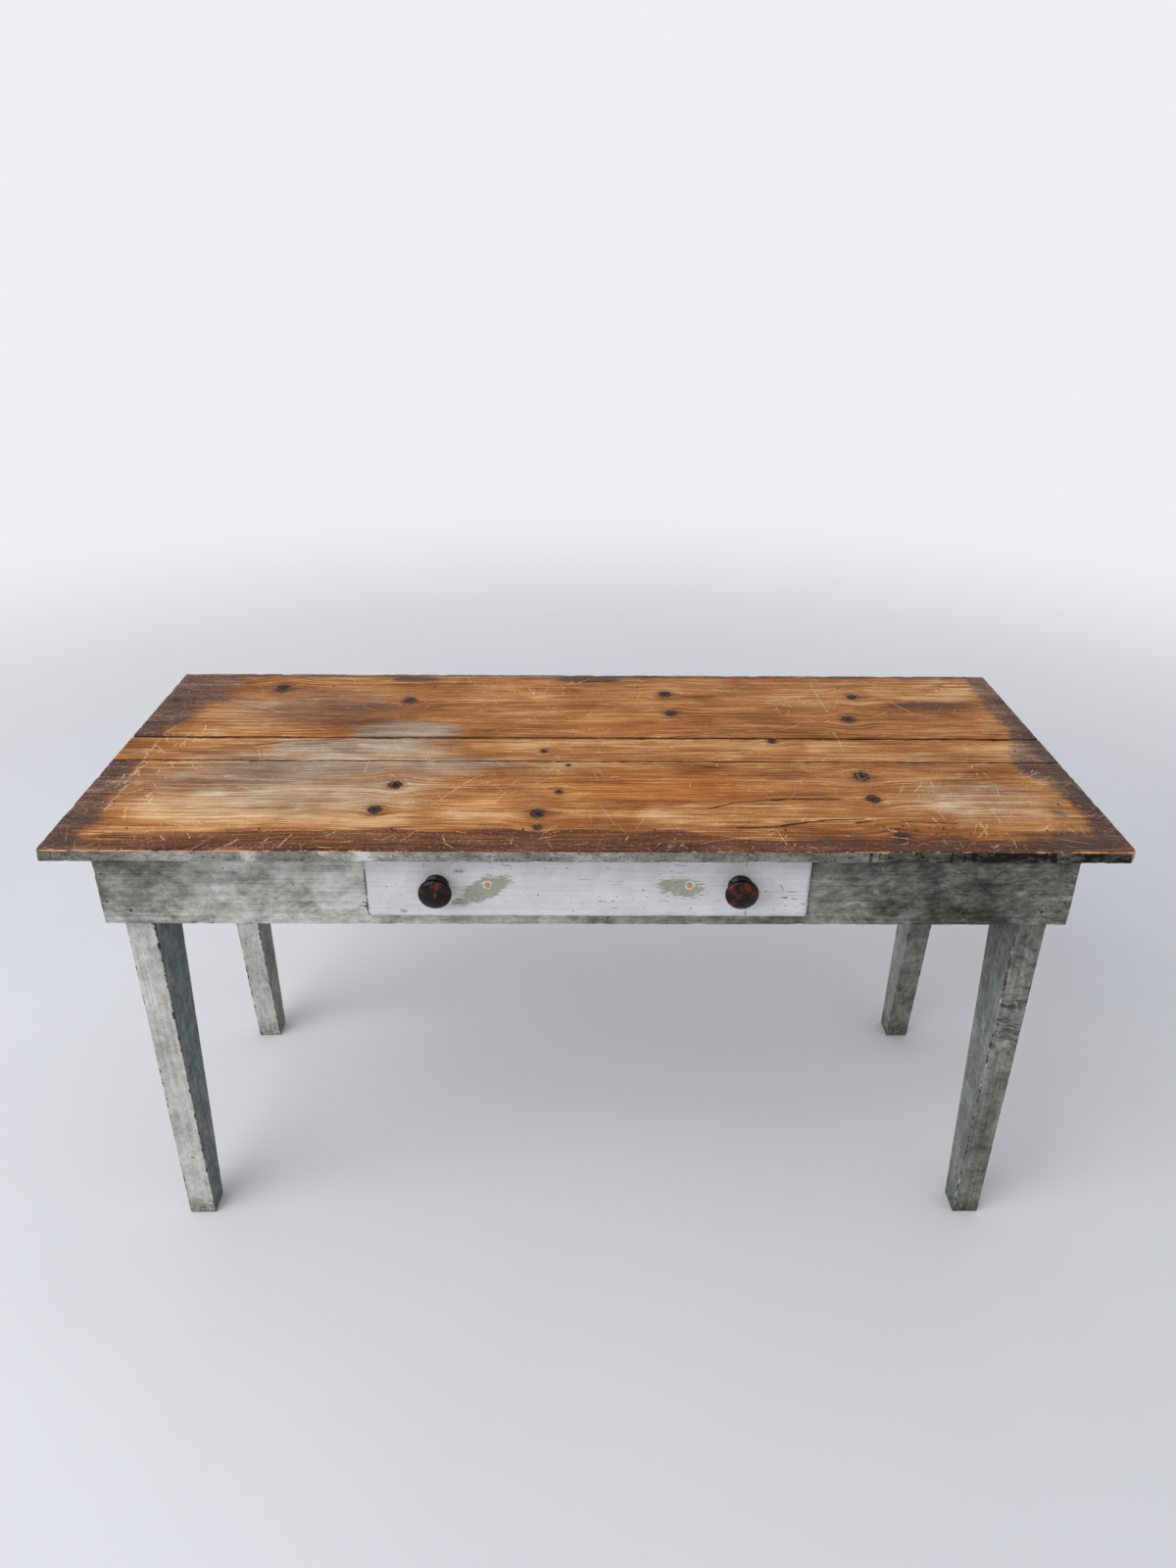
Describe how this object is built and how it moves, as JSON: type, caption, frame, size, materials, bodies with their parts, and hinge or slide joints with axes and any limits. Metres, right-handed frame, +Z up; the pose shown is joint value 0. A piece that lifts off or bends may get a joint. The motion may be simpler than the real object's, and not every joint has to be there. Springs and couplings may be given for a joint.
{
  "type": "farmhouse table",
  "caption": "Farmhouse table with a plank top, nailed board apron, tapered plank legs and a lipped drawer with turned knobs that slides out at the front.",
  "frame": {"origin": "on the floor under the middle of the top", "axes": "+X along the table's length, to the right of someone facing the drawer; +Y from the drawer side to the back; +Z up"},
  "size_m": [1.48, 0.636, 0.762],
  "materials": {
    "top_wood": "worn varnish on old pine",
    "apron_paint": "rubbed grey-green paint",
    "leg_paint": "rubbed grey paint",
    "drawer_paint": "pale grey paint with flaked green patches",
    "inner_pine": "unfinished aged pine",
    "plug_wood": "bare wood",
    "knob_glaze": "glossy mottled brown glaze",
    "iron": "dull dark iron"
  },
  "bodies": {
    "table": {"top_board_front": "top_wood", "top_board_middle": "top_wood", "top_board_back": "top_wood", "apron_front": "apron_paint", "apron_back": "apron_paint", "apron_left": "apron_paint", "apron_right": "apron_paint", "leg_front_left": "leg_paint", "leg_front_right": "leg_paint", "leg_back_left": "leg_paint", "leg_back_right": "leg_paint", "top_cleat_left": "inner_pine", "top_cleat_right": "inner_pine", "drawer_runner_left": "inner_pine", "drawer_runner_right": "inner_pine", "drawer_guide_left": "inner_pine", "drawer_guide_right": "inner_pine", "drawer_kicker_left": "inner_pine", "drawer_kicker_right": "inner_pine", "top_nails": "iron", "cleat_screws": "iron", "kicker_screws": "iron", "apron_corner_nails": "iron", "leg_nails": "iron", "guide_nails": "iron"},
    "drawer": {"drawer_front": "drawer_paint", "drawer_side_left": "inner_pine", "drawer_side_right": "inner_pine", "drawer_back": "inner_pine", "drawer_bottom": "inner_pine", "old_handle_plugs": "plug_wood", "knob_left": "knob_glaze", "knob_right": "knob_glaze", "knob_screw_left": "iron", "knob_screw_right": "iron", "drawer_nails": "iron"}
  },
  "joints": [
    {"name": "drawer_slide", "type": "slide", "parent": "table", "child": "drawer", "axis": [0, -1, 0], "range_m": [0, 0.35]}
  ]
}
